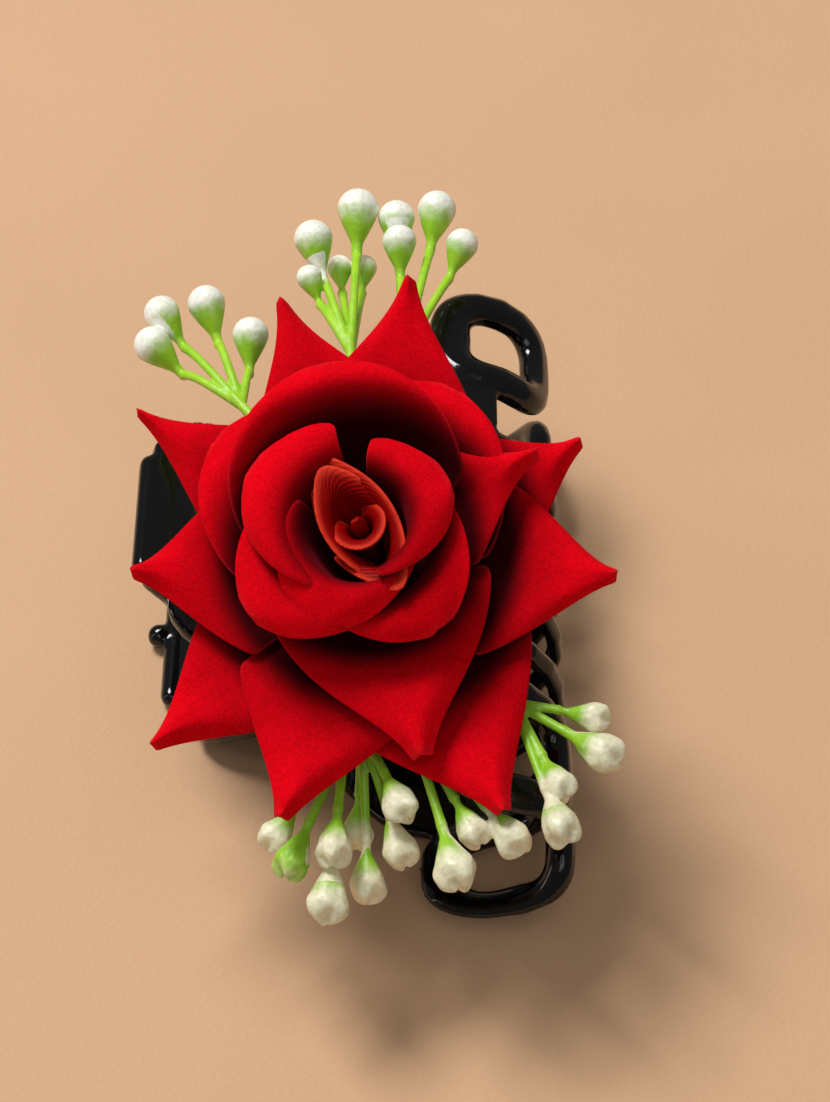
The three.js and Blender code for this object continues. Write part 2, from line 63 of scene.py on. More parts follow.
CAMERA_PLACE = Vector((-1.47, -290.0, 381.8)) * MM
CAMERA_TILT = 40                  # degrees up from looking straight down
LENS = 125.6


def add_camera():
    bpy.ops.object.camera_add(location=CAMERA_PLACE, rotation=(math.radians(CAMERA_TILT), 0, 0))
    camera = bpy.context.object
    camera.data.sensor_fit = "HORIZONTAL"
    camera.data.sensor_width = 36
    camera.data.lens = LENS
    camera.data.clip_start = 0.01
    bpy.context.scene.camera = camera


def add_softbox(name, place, aim, size, watts):
    bpy.ops.object.light_add(type="AREA", location=Vector(place) * MM)
    light = bpy.context.object
    light.name = name
    light.data.shape = "RECTANGLE"
    light.data.size, light.data.size_y = size[0] * MM, size[1] * MM
    light.data.energy = watts
    direction = (Vector(aim) - Vector(place)).normalized()
    light.rotation_euler = direction.to_track_quat("-Z", "Y").to_euler()


add_camera()
add_softbox("key", (-560, 540, 1420), (0, -10, 20), (560, 560), 22.9)
add_softbox("side", (-460, -60, 240), (0, 0, 30), (50, 420), 0.16)
add_softbox("fill", (60, -560, 960), (0, 0, 30), (700, 700), 2.4)

world = bpy.data.worlds.new("studio")
world.use_nodes = True
world.node_tree.nodes["Background"].inputs["Color"].default_value = (1, 0.97, 0.93, 1)
world.node_tree.nodes["Background"].inputs["Strength"].default_value = 0.15
bpy.context.scene.world = world
bpy.context.scene.view_settings.view_transform = "Standard"

# ---------------------------------------------------------------- looks


class Wire:
    """A socket's value. Arithmetic on it adds the Math nodes."""

    def __init__(self, look, socket):
        self.look = look
        self.socket = socket

    def maths(self, operation, *values):
        return self.look.node("ShaderNodeMath", {"operation": operation}, dict(enumerate(values)))

    def __add__(self, other):
        return self.maths("ADD", self, other)

    def __sub__(self, other):
        return self.maths("SUBTRACT", self, other)

    def __rsub__(self, other):
        return self.maths("SUBTRACT", other, self)

    def __mul__(self, other):
        return self.maths("MULTIPLY", self, other)

    __radd__ = __add__
    __rmul__ = __mul__

    def bigger(self, other):
        return self.maths("MAXIMUM", self, other)

    def size(self):
        return self.maths("ABSOLUTE", self)

    def between(self, low, high):
        """0 below low, 1 above high and a soft step between them."""
        return self.look.node("ShaderNodeMapRange", {"interpolation_type": "SMOOTHSTEP"},
                              {0: self, 1: low, 2: high})


class Look:
    """One material, and the method that adds its nodes."""

    def __init__(self, name):
        self.material = bpy.data.materials.new(name)
        self.material.use_nodes = True
        self.material.node_tree.nodes.clear()
        self.place = self.node("ShaderNodeTexCoord", {}, {}, "Object")

    def node(self, kind, settings, sockets, output=0):
        made = self.material.node_tree.nodes.new(kind)
        for name, value in settings.items():
            setattr(made, name, value)
        for name, value in sockets.items():
            if isinstance(value, Wire):
                self.material.node_tree.links.new(value.socket, made.inputs[name])
            else:
                made.inputs[name].default_value = value
        return Wire(self, made.outputs[output])

    def noise(self, grain, detail=2.0, roughness=0.5):
        """Noise whose lumps are about grain millimetres across."""
        return self.node("ShaderNodeTexNoise", {}, {
            "Vector": self.place, "Scale": 1 / (grain * MM), "Detail": detail,
            "Roughness": roughness})

    def mix(self, share, first, second):
        colours = {0: share, 6: first, 7: second}
        return self.node("ShaderNodeMix", {"data_type": "RGBA"}, colours, 2)

    def bump(self, height, strength, depth):
        return self.node("ShaderNodeBump", {}, {
            "Height": height, "Strength": strength, "Distance": depth * MM}, "Normal")

    def stretched(self, x, y, z):
        return self.node("ShaderNodeMapping", {}, {"Vector": self.place, "Scale": (x, y, z)})

    def weave_place(self):
        """The piece's own UV map, as along and across."""
        uv = self.node("ShaderNodeUVMap", {"uv_map": "UVMap"}, {})
        along = self.node("ShaderNodeSeparateXYZ", {}, {0: uv}, "X")
        across = self.node("ShaderNodeSeparateXYZ", {}, {0: uv}, "Y")
        return along, across

    def attribute(self, name):
        return self.node("ShaderNodeAttribute", {"attribute_name": name}, {}, "Fac")

    def finish(self, **sockets):
        named = {name.replace("_", " "): value for name, value in sockets.items()}
        shader = self.node("ShaderNodeBsdfPrincipled", {}, named)
        self.node_output(shader)
        return self.material

    def node_output(self, shader):
        made = self.material.node_tree.nodes.new("ShaderNodeOutputMaterial")
        self.material.node_tree.links.new(shader.socket, made.inputs["Surface"])


def velvet_look():
    look = Look("red velvet")
    along, across = look.weave_place()
    flock = look.noise(0.4, 4.0, roughness=0.75)
    brushed = look.noise(5.0, 3.0)
    edge = along.bigger((across * 2 - 1).size())
    cut = edge.between(0.955, 1.0)
    shade = (flock - 0.5) * 2.2 + brushed * 0.7 + 0.1
    pile = look.mix(shade, (0.48, 0.0, 0.002, 1), (0.95, 0.0, 0.011, 1))
    # Painted shade: the pile is mixed towards near black where a petal comes out from under the
    # petals inside it, and the dark fades out towards its tip.
    shaded = look.mix(look.attribute("open"), (0.03, 0.0, 0.001, 1), pile)
    colour = look.mix(cut * flock * 0.4, shaded, (0.85, 0.03, 0.04, 1))
    return look.finish(
        Base_Color=colour, Roughness=0.93, Specular_IOR_Level=0.05,
        Sheen_Weight=0.16, Sheen_Roughness=0.4, Sheen_Tint=(1.0, 0.03, 0.07, 1),
        Normal=look.bump(flock, 0.5, 0.14))


def satin_look():
    look = Look("red satin")
    along, across = look.weave_place()
    rib = look.node("ShaderNodeTexWave", {"wave_profile": "SIN", "bands_direction": "DIAGONAL"}, {
        "Vector": look.node("ShaderNodeUVMap", {"uv_map": "UVMap"}, {}), "Scale": 16.0,
        "Distortion": 0.8, "Detail": 1.0, "Detail Scale": 2.0}, "Fac")
    thread = look.noise(0.18, 2.0)
    mottle = look.noise(2.5, 2.0)
    edge = along.bigger((across * 2 - 1).size()).between(0.9, 1.0)
    colour = look.mix(rib * 0.6 + thread * 0.4, (0.07, 0.0, 0.0, 1), (0.42, 0.0, 0.0, 1))
    # Painted highlight: the top lip and the ends of each satin strip are painted pale orange-red,
    # made patchy by noise.
    lip_highlight = look.mix(edge * (mottle * 0.6 + 0.4), colour, (0.85, 0.05, 0.02, 1))
    return look.finish(
        Base_Color=lip_highlight, Roughness=0.62 - rib * 0.2, Specular_IOR_Level=0.07,
        Normal=look.bump(rib * 0.8 + thread * 0.4, 0.5, 0.12))


def bud_look(name, white, green, opens):
    """Soft plastic that fades from green stems to pale tips. opens is where a bud turns pale."""
    look = Look(name)
    ripe = look.attribute("ripe")
    patch = look.noise(2.2, 3.0)
    vein = look.noise(0.7, 2.0)
    shade = (ripe + (patch - 0.5) * 0.3).between(opens, opens + 0.34)
    stalk = look.mix(patch, green, (green[0] * 2.1, green[1] * 1.45, green[2] * 1.8, 1))
    mottle = (white[0] * 0.74, white[1] * 0.74, white[2] * 0.5, 1)
    tip = look.mix(vein.between(0.42, 0.75) * 0.65, white, mottle)
    return look.finish(
        Base_Color=look.mix(shade, stalk, tip), Roughness=0.3 + patch * 0.2,
        Subsurface_Weight=0.25, Subsurface_Scale=0.0015, Subsurface_Radius=(1.0, 0.9, 0.5),
        Normal=look.bump(vein, 0.5, 0.16))


def claw_look():
    look = Look("gloss black plastic")
    film = look.noise(9.0, 3.0)
    speck = look.noise(0.5, 2.0)
    scuff = look.node("ShaderNodeTexNoise", {}, {
        "Vector": look.stretched(1.0, 0.12, 1.0), "Scale": 900.0, "Detail": 3.0})
    dust = (film * speck).between(0.36, 0.5)
    colour = look.mix(dust * 0.25, (0.003, 0.003, 0.0035, 1), (0.014, 0.013, 0.012, 1))
    return look.finish(
        Base_Color=colour, Roughness=0.06 + film * 0.08 + scuff * 0.04,
        Specular_IOR_Level=0.32, Coat_Weight=0.22, Coat_Roughness=0.05,
        Normal=look.bump(film + scuff * 0.04, 0.12, 0.5))


def steel_look():
    look = Look("bright steel wire")
    drawn = look.node("ShaderNodeTexNoise", {}, {
        "Vector": look.stretched(1.0, 0.1, 1.0), "Scale": 3000.0, "Detail": 2.0})
    tarnish = look.noise(1.5, 2.0)
    colour = look.mix(tarnish * 0.5, (0.62, 0.62, 0.63, 1), (0.42, 0.40, 0.38, 1))
    return look.finish(Base_Color=colour, Metallic=1.0, Roughness=0.2 + drawn * 0.18,
                       Normal=look.bump(drawn, 0.1, 0.02))


def felt_look():
    look = Look("black felt")
    fibre = look.noise(0.25, 4.0, roughness=0.8)
    colour = look.mix(fibre, (0.010, 0.009, 0.008, 1), (0.045, 0.04, 0.036, 1))
    return look.finish(Base_Color=colour, Roughness=0.95, Sheen_Weight=0.3,
                       Normal=look.bump(fibre, 0.7, 0.2))


def glue_look():
    look = Look("set glue")
    cloud = look.noise(1.8, 3.0)
    colour = look.mix(cloud, (0.85, 0.72, 0.28, 1), (0.93, 0.88, 0.62, 1))
    return look.finish(Base_Color=colour, Roughness=0.22 + cloud * 0.15, Subsurface_Weight=0.4,
                       Subsurface_Scale=0.002, Normal=look.bump(cloud, 0.3, 0.3))


def cup_look():
    look = Look("green polythene")
    streak = look.node("ShaderNodeTexNoise", {}, {
        "Vector": look.stretched(1.0, 1.0, 0.2), "Scale": 900.0, "Detail": 2.0})
    colour = look.mix(streak, (0.06, 0.21, 0.02, 1), (0.15, 0.42, 0.05, 1))
    return look.finish(Base_Color=colour, Roughness=0.42, Normal=look.bump(streak, 0.3, 0.1))


def floor_look():
    look = Look("plain floor")
    grain = look.noise(0.9, 3.0, roughness=0.7)
    wide = look.noise(60.0, 2.0)
    shade = grain * 0.35 + wide * 0.65
    colour = look.mix(shade, (0.60, 0.365, 0.212, 1), (0.72, 0.445, 0.262, 1))
    return look.finish(Base_Color=colour, Roughness=0.9, Specular_IOR_Level=0.15,
                       Normal=look.bump(grain, 0.4, 0.35))


VELVET = velvet_look()
SATIN = satin_look()
BUD_FRESH = bud_look("fresh buds", (0.95, 0.96, 0.88, 1), (0.23, 0.54, 0.018, 1), 0.45)
BUD_CREAM = bud_look("cream buds", (0.80, 0.77, 0.56, 1), (0.18, 0.45, 0.015, 1), 0.36)
CLAW = claw_look()
STEEL = steel_look()

# ---------------------------------------------------------------- the bench


def start_clean():
    if bpy.context.object and bpy.context.object.mode != "OBJECT":
        bpy.ops.object.mode_set(mode="OBJECT")
    bpy.ops.object.select_all(action="DESELECT")


def take(piece):
    start_clean()
    piece.select_set(True)
    bpy.context.view_layer.objects.active = piece


def take_new(name):
    piece = bpy.context.object
    piece.name = name
    piece.data.name = name
    return piece


def apply_modifier(piece, kind, **settings):
    take(piece)
    modifier = piece.modifiers.new(kind.lower(), kind)
    for name, value in settings.items():
        setattr(modifier, name, value)
    bpy.ops.object.modifier_apply(modifier=modifier.name)


def settle(piece):
    """Puts the piece's place, turn and size into its mesh."""
    take(piece)
    bpy.ops.object.transform_apply(location=True, rotation=True, scale=True)


def join_all(pieces, name):
    take(pieces[0])
    for piece in pieces[1:]:
        piece.select_set(True)
    bpy.ops.object.join()
    return take_new(name)


def shade(piece, angle=None):
    take(piece)
    if angle is None:
        bpy.ops.object.shade_smooth()
    else:
        bpy.ops.object.shade_smooth_by_angle(angle=math.radians(angle))


def dress(piece, body, slot, *looks):
    """Gives a finished piece its materials and the body it moves with. slot is not used."""
    if not len(piece.data.materials):
        for look in looks:
            piece.data.materials.append(look)
    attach(piece, body)
    return piece


def moved(piece, place):
    """Moves every vertex of a piece through a function of its position."""
    count = len(piece.data.vertices)
    flat = np.empty(count * 3)
    piece.data.vertices.foreach_get("co", flat)
    points = [place(Vector(point)) for point in flat.reshape(-1, 3)]
    piece.data.vertices.foreach_set("co", np.array(points).ravel())
    piece.data.update()


def smooth(low, high, value):
    t = min(max((value - low) / (high - low), 0.0), 1.0)
    return t * t * (3 - 2 * t)


# ---------------------------------------------------------------- jaws, pin and spring


def copy_of(node, name):
    """A merged copy of a CAD node's mesh, for a finer piece to be made from."""
    source = frame["nodes"][node]
    piece = bpy.data.objects.new(name, source.data.copy())
    bpy.context.scene.collection.objects.link(piece)
    piece.data.materials.clear()
    take(piece)
    bpy.ops.object.mode_set(mode="EDIT")
    bpy.ops.mesh.select_all(action="SELECT")
    bpy.ops.mesh.remove_doubles(threshold=0.01 * MM)
    bpy.ops.object.mode_set(mode="OBJECT")
    return piece


def moulded(node, name, grain, rounds):
    """A CAD solid with the soft edges of a moulding: a fine skin over it, then relaxed."""
    piece = copy_of(node, name)
    apply_modifier(piece, "REMESH", mode="VOXEL", voxel_size=grain * MM)
    apply_modifier(piece, "SMOOTH", factor=0.5, iterations=rounds)
    shade(piece)
    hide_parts(node)
    return piece


dress(moulded("front_jaw", "upper_claw_jaw", 0.42, 9), "front", "claw_plastic", CLAW)
dress(moulded("back_jaw", "lower_claw_jaw", 0.42, 9), "back", "claw_plastic", CLAW)
dress(moulded("felt_pad", "felt_disc", 0.3, 3), "front", "felt", felt_look())
dress(moulded("glue_pad", "glue_bead", 0.3, 8), "front", "glue", glue_look())
dress(moulded("rose_cup", "flower_cup", 0.25, 5), "front", "green_plastic", cup_look())

HINGE = Vector(frame["joints"][0]["pos_m"]) / MM
ROD_RADIUS = 1.2
ROD_INSET = 1.0                   # the rod starts this far inside its head
HEAD_RADIUS = 2.1


def hinge_rod():
    low, high = (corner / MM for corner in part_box("hinge_pin"))
    bpy.ops.mesh.primitive_cylinder_add(
        vertices=32, radius=ROD_RADIUS * MM, depth=(high.y - low.y - ROD_INSET) * MM,
        location=(HINGE.x * MM, (low.y + high.y + ROD_INSET) / 2 * MM, HINGE.z * MM),
        rotation=(math.pi / 2, 0, 0))
    rod = take_new("hinge_rod")
    bpy.ops.mesh.primitive_uv_sphere_add(
        segments=32, ring_count=16, radius=HEAD_RADIUS * MM, scale=(1, 0.5, 1),
        location=(HINGE.x * MM, (low.y + HEAD_RADIUS / 2) * MM, HINGE.z * MM))
    head = bpy.context.object
    settle(rod)
    settle(head)
    rod = join_all([rod, head], "hinge_rod")
    shade(rod, 40)
    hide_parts("hinge_pin")
    return rod


dress(hinge_rod(), "back", "steel", STEEL)

COIL_TURNS = 7.4
COIL_RADIUS = 2.5
COIL_HALF = 8.0                   # half the coil's length
COIL_STARTS = 0.7 * math.pi       # where round the rod the first turn starts
COIL_ROLL = math.radians(-4)
WIRE_RADIUS = 0.45
LEG_LENGTH = 9
LEG_SPREAD = 3.4                  # how far a leg's end stands off the rod's level
COIL_POINTS = 260
LEG_POINTS = 30


def coil_spring():
    """A leg along the lower lever, the coil round the rod, and a leg along the upper lever."""
    # Each point: how far out along its leg, which leg, and how far along the coil.
    steps = LEG_POINTS - 1
    points = [(1 - i / steps, -1, 0.0) for i in range(LEG_POINTS)]
    points += [(0.0, 0, i / COIL_POINTS) for i in range(1, COIL_POINTS)]
    points += [(i / steps, 1, 1.0) for i in range(LEG_POINTS)]
    roll = Matrix.Rotation(COIL_ROLL, 3, "Y")
    bpy.ops.curve.primitive_nurbs_path_add()
    spring = take_new("torsion_spring")
    spring.data.splines.clear()
    line = spring.data.splines.new("POLY")
    line.points.add(len(points) - 1)
    for point, (past, side, coil) in zip(line.points, points):
        angle = COIL_STARTS + 2 * math.pi * COIL_TURNS * coil
        x = COIL_RADIUS * math.cos(angle) - LEG_LENGTH * past
        z = COIL_RADIUS * math.sin(angle) + side * LEG_SPREAD * past
        place = roll @ Vector((x, COIL_HALF * (2 * coil - 1), z)) + HINGE
        point.co = (*(place * MM), 1)
    spring.data.bevel_depth = WIRE_RADIUS * MM
    spring.data.bevel_resolution = 3
    spring.data.use_fill_caps = True
    take(spring)
    bpy.ops.object.convert(target="MESH")
    settle(spring)
    shade(spring)
    return spring


spring = coil_spring()
spring.data.materials.append(STEEL)
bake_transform(spring)
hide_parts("spring")

# ---------------------------------------------------------------- the rose

ROSE_BASE = Vector((-6.9, -11.6, 45.4))
# The rose tips sideways first, about Y, and then towards the near end, about X.
ROSE_TURN = Matrix.Rotation(math.radians(22), 3, "X") @ Matrix.Rotation(math.radians(-7), 3, "Y")
CLOTH = 0.55                      # thickness of the velvet
FOOT = 0.35                       # share of a petal's width at its foot
POINT_FROM = 0.46                 # how far along a pointed petal its sides start to close
PINCH = 0.94                      # share of its width that is gone at its tip
SIDE_FOLD = 3.4                   # how far its sides fold down
ROUND_FROM = 0.3                  # how far along a rounded petal its sides start to close
ROUND_LENGTH = 0.703
SQUARENESS = 2.0                  # 2 is an ellipse, and more is squarer
RIM_ROLL = 0.8                    # how far a rounded petal's rim rolls down
RIPPLE = 0.5
CREASE = (-1.5, 3.5)              # the deepest painted crease shade ends from here to here, about SHOWS_FROM
CREASE_SHARE = 0.6                # how much of the painted crease shade ends there
FADE = 0.75                       # the rest of the painted crease shade fades over this share of what shows of the petal

# Each petal lies on a bowl about the rose's axis: distance from the axis and height over its
# base, from the cup out to the rim.
BOWLS = {
    "outer": [(5.4, 0.6), (16, 3.4), (29, 7.4), (41, 9.4)],
    "second": [(5.2, 1.6), (15, 6.4), (26, 11.8), (38, 13.2)],
    "third": [(5.1, 2.6), (14, 6.0), (16, 16.5), (31, 12.5)],
    "ring": [(4.9, 3.6), (16, 5.0), (18, 19.5), (27.5, 14.5)],
    "arch": [(4.7, 4.6), (19, 7), (17, 32), (25, 22.5)],
    "crescent_right": [(4.7, 4.6), (11, 7), (9, 27.5), (20.5, 18.5)],
    "crescent_left": [(4.5, 5.6), (11, 8), (9, 28.5), (20.5, 19)],
    "inner_left": [(4.3, 6.4), (10, 9), (5, 33), (17.5, 22.5)],
    "front_cup": [(4.1, 7.2), (9.5, 9), (4.5, 31.5), (15.8, 21)],
    "inner_right": [(3.9, 8.0), (8.5, 10), (3.5, 34), (14.5, 23)],
}
# How far from the axis each bowl comes out from under the petals inside it.
SHOWS_FROM = {
    "outer": 25, "second": 22, "third": 16.5, "ring": 20.5, "arch": 18.5, "crescent_right": 12.0,
    "crescent_left": 12.5, "inner_left": 9.2, "front_cup": 8.4, "inner_right": 7.6,
}


def on_bowl(name, a):
    p0, p1, p2, p3 = (Vector(point) for point in BOWLS[name])
    b = 1 - a
    return p0 * b ** 3 + p1 * 3 * b * b * a + p2 * 3 * b * a * a + p3 * a ** 3


def in_rose(point):
    return (ROSE_TURN @ point + ROSE_BASE) * MM


def rounded_edge(a, b, square):
    """The share of its width that a rounded petal keeps, and how far its rim rolls down."""
    past = max(0, (a - ROUND_FROM) / ROUND_LENGTH)
    kept = math.sqrt(max(0.01, 1 - past ** square))
    fold = RIM_ROLL * (smooth(0.7, 1.1, a) ** 1.5 + abs(b) ** 4 * smooth(0.3, 0.9, a))
    return kept, fold


def pointed_edge(a, b):
    """The share of its width that a pointed petal keeps, and how far its sides fold down."""
    past = max(0, (a - POINT_FROM) / (1 - POINT_FROM))
    kept = 1 - PINCH * (0.3 * past + 0.7 * smooth(0, 1, past ** 0.8))
    fold = SIDE_FOLD * abs(b) ** 2.2 * smooth(0.45, 0.95, a) * (1 - 0.3 * past ** 4)
    return kept, fold


def petal_point(shape, a, b):
    """A point of a petal's upper face, a along it from 0 to 1 and b across it from -1 to 1."""
    angle, sector, width, reach = shape["at"]
    square = SQUARENESS
    if "ends" in shape:
        sector, square = shape["ends"][b > 0]
    kept, fold = rounded_edge(a, b, square) if "rounded" in shape else pointed_edge(a, b)
    half = width * (FOOT + (1 - FOOT) * smooth(0, 0.45, a)) * kept
    bowl = on_bowl(shape["bowl"], a)
    stretch = reach / BOWLS[shape["bowl"]][3][0]
    r = bowl.x * (1 + (stretch - 1) * smooth(0.1, 1, a))
    turn = math.radians(angle) + b * min(half / r, math.radians(sector))
    ripple = RIPPLE * math.sin(5 * b + 7 * a + angle) * smooth(0.2, 0.9, a) * abs(b)
    z = bowl.y - fold + ripple + shape.get("lift", 0) * smooth(0.1, 0.9, a)
    return Vector((r * math.cos(turn), r * math.sin(turn), z))


def mark_painted_shade(piece, shows_from, reach):
    """Stores how far out of the crease each point is, for the painted crease shade: 0 is painted
    darkest, 1 is not shaded.
    """
    back = ROSE_TURN.transposed()
    faded = shows_from + FADE * (reach - shows_from)
    values = []
    for vertex in piece.data.vertices:
        point = back @ (vertex.co / MM - ROSE_BASE)
        r = math.hypot(point.x, point.y)
        crease = smooth(shows_from + CREASE[0], shows_from + CREASE[1], r)
        fade = smooth(shows_from, faded, r)
        values.append(CREASE_SHARE * crease + (1 - CREASE_SHARE) * fade)
    piece.data.attributes.new("open", "FLOAT", "POINT").data.foreach_set("value", values)


def petal(name, shape):
    bpy.ops.mesh.primitive_grid_add(x_subdivisions=30, y_subdivisions=24, size=1)
    piece = take_new(name)
    moved(piece, lambda p: in_rose(petal_point(shape, p.x + 0.5, 2 * p.y)))
    piece.data.materials.append(VELVET)
    piece.data.materials.append(SATIN)
    apply_modifier(piece, "SOLIDIFY", thickness=CLOTH * MM, offset=-1, material_offset=1)
    apply_modifier(piece, "SUBSURF", levels=1, render_levels=1)
    # Painted crease shade, darkest where the petal comes out from under the petals inside it.
    mark_painted_shade(piece, SHOWS_FROM[shape["bowl"]], shape["at"][3])
    shade(piece)
    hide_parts(name.replace("velvet_", "petal_"))
    return dress(piece, "front", "velvet")


# at is the angle of the petal's middle and the half angle it may take up, in degrees, then its
# half width and its reach. lift raises its tip.
# ends gives each side of a rounded petal its own half angle and squareness.
PETALS = {
    "back_left": {"bowl": "outer", "at": (109, 22, 15, 44)},
    "far_left": {"bowl": "outer", "at": (146, 22, 12, 43.5)},
    "low_left": {"bowl": "outer", "at": (221, 33, 16, 43)},
    "low_right": {"bowl": "outer", "at": (296, 40, 21, 44)},
    "far_right": {"bowl": "outer", "at": (28, 24, 13, 35.5)},
    "hidden_right": {"bowl": "outer", "at": (0, 16, 8, 30)},
    "back": {"bowl": "second", "at": (82, 42, 18, 43)},
    "left": {"bowl": "second", "at": (184, 38, 20, 35.5)},
    "front_left": {"bowl": "second", "at": (252, 33, 20, 42), "lift": -2.5},
    "right": {"bowl": "second", "at": (351, 38, 18, 37)},
    "curl_right": {"bowl": "third", "at": (27, 40, 14, 28.5), "lift": 3.0},
    "front": {"bowl": "third", "at": (284, 66, 27, 33)},
    "ring_left": {"bowl": "ring", "at": (142, 50, 20, 29), "rounded": True, "lift": -1.0},
    "ring_right": {"bowl": "ring", "at": (62, 70, 23, 27), "rounded": True},
    "arch": {"bowl": "arch", "at": (106, 74, 23, 26), "rounded": True},
    "crescent_right": {"bowl": "crescent_right", "at": (310, 70, 21, 18.8), "rounded": True},
    "crescent_left": {"bowl": "crescent_left", "at": (214, 70, 20, 20.5), "rounded": True},
    "inner_left": {"bowl": "inner_left", "at": (150, 58, 24, 18.8), "rounded": True,
                   "ends": ((48, 3.0), (86, 1.8))},
    "front_cup": {"bowl": "front_cup", "at": (246, 92, 19, 16), "rounded": True},
    "inner_right": {"bowl": "inner_right", "at": (28, 60, 24, 14.8), "rounded": True,
                    "ends": ((98, 1.6), (53, 3.2))},
}
for name, shape in PETALS.items():
    petal("velvet_" + name, shape)


WRAP_BOTTOM = 8.6
LIP_FROM = 0.76                   # how far up a wrap its lip starts to turn out
LIP_FLARE = 1.3
LIP_SAG = 0.1
HEART_HEIGHT = 15.6
SEAT_RADIUS = 6.2
SEAT_HEIGHT = 8.7
SEAT_DOME = 0.03                  # how fast the seat falls away from its middle
LONG_WAY = Matrix.Rotation(math.radians(-58), 3, "Z")     # the bud's longer way across


def bud_wrap(name, radius, flare, top, angle, sweep, replaced, squeeze=0.0, drop=0.3):
    """A strip of satin rolled nearly upright round the bud's core. squeeze presses its rim long,
    and drop lowers its ends."""
    middle = math.radians(angle)
    half = math.radians(sweep / 2)

    def place(p):
        up = p.x + 0.5
        across = 2 * p.y
        turn = middle + half * across
        lip = smooth(LIP_FROM, 1, up)
        r = radius + flare * up ** 2 + LIP_FLARE * lip ** 2
        height = (top - WRAP_BOTTOM) * (up - LIP_SAG * lip ** 2) * (1 - drop * across ** 4)
        pressed = LONG_WAY.transposed() @ Vector((r * math.cos(turn), r * math.sin(turn), 0))
        point = 0.45 * abs(math.cos(math.atan2(pressed.y, pressed.x))) ** 6
        pressed.x *= 1 + squeeze * up * (0.35 + point)
        pressed.y *= 1 - squeeze * up * 0.45
        return in_rose(LONG_WAY @ pressed + Vector((0, 0, WRAP_BOTTOM + height)))

    bpy.ops.mesh.primitive_grid_add(x_subdivisions=16, y_subdivisions=40, size=1)
    piece = take_new(name)
    moved(piece, place)
    piece.data.materials.append(SATIN)
    apply_modifier(piece, "SOLIDIFY", thickness=CLOTH * MM, offset=0)
    apply_modifier(piece, "SUBSURF", levels=1, render_levels=1)
    shade(piece)
    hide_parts(replaced)
    dress(piece, "front", "satin")


bud_wrap("satin_wrap_inner", 1.5, 1.3, 24.6, 300, 300, "bud_wrap_inner")
bud_wrap("satin_wrap_middle", 2.5, 3.2, 25.2, 140, 290, "bud_wrap_middle", 0.55, 0.35)
bud_wrap("satin_wrap_outer", 3.4, 3.3, 25.4, 20, 330, "bud_wrap_outer", 0.68, 0.42)


def rose_seat():
    """A round of velvet under the bud, which hides the cup. All of it takes the full painted
    crease shade.
    """
    bpy.ops.mesh.primitive_circle_add(vertices=48, radius=SEAT_RADIUS, fill_type="TRIFAN")
    piece = take_new("velvet_seat")
    bpy.ops.object.mode_set(mode="EDIT")
    bpy.ops.mesh.select_all(action="SELECT")
    bpy.ops.mesh.subdivide(number_cuts=3)
    bpy.ops.mesh.extrude_region_move(TRANSFORM_OT_translate={"value": (0, 0, 0.4)})
    bpy.ops.mesh.select_all(action="SELECT")
    bpy.ops.mesh.normals_make_consistent(inside=False)
    bpy.ops.object.mode_set(mode="OBJECT")

    def place(p):
        fall = SEAT_DOME * (p.x ** 2 + p.y ** 2)
        return in_rose(Vector((p.x, p.y, SEAT_HEIGHT + p.z - fall)))

    moved(piece, place)
    # The whole seat lies within 18.5 mm of the axis, so it is painted in the darkest crease
    # shade.
    mark_painted_shade(piece, 20, 30)
    shade(piece, 40)
    dress(piece, "front", "velvet", VELVET)


def bud_heart():
    bpy.ops.mesh.primitive_uv_sphere_add(segments=32, ring_count=20, radius=1)
    piece = take_new("satin_heart")

    def place(p):
        up = (p.z + 1) / 2
        turn = math.atan2(p.y, p.x)
        r = math.hypot(p.x, p.y) * (0.9 + 1.0 * smooth(0.5, 1, up))
        crease = 0.35 * smooth(0.75, 1, up) * math.cos(turn + 5 * (1 - up))
        height = WRAP_BOTTOM + HEART_HEIGHT * up + crease
        return in_rose(Vector((r * math.cos(turn), r * math.sin(turn), height)))

    moved(piece, place)
    piece.data.materials.append(SATIN)
    shade(piece)
    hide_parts("bud_core")
    dress(piece, "front", "satin")


rose_seat()
bud_heart()

# ---------------------------------------------------------------- sprays of buds

BUD_LENGTH = 9.4
BUD_RADIUS = 2.75
BUD_MIDDLE = 0.62                 # how far along a bud its centre is
BELL = (0.74, 3.4)                # where a wrinkled bud is widest, and how blunt its end is
DROP = (0.72, 2.4)                # the same for a smooth bud
ROUNDING = 0.07                   # a bud starts to round off this far before its widest place
NECK_RADIUS = 0.72
NECK_BACK = 5.2                   # how far behind a bud's centre its twig ends
FOOT_BACK = 5.8                   # how far behind it the bud starts
TIPS_UP = Vector((0, -0.1, 0.45))     # smooth buds turn their tips up
STEM = 0.85
TWIG = 0.7
SKIN = 0.24                       # grain of the skin over a spray


def stem(points, radii):
    bpy.ops.curve.primitive_nurbs_path_add()
    curve = bpy.context.object
    for point, place, radius in zip(curve.data.splines[0].points, points, radii):
        point.co = (*(place * MM), 1)
        point.radius = radius
    curve.data.splines[0].use_endpoint_u = True
    curve.data.bevel_depth = MM
    curve.data.bevel_resolution = 2
    curve.data.resolution_u = 8
    curve.data.use_fill_caps = True
    take(curve)
    bpy.ops.object.convert(target="MESH")
    return bpy.context.object


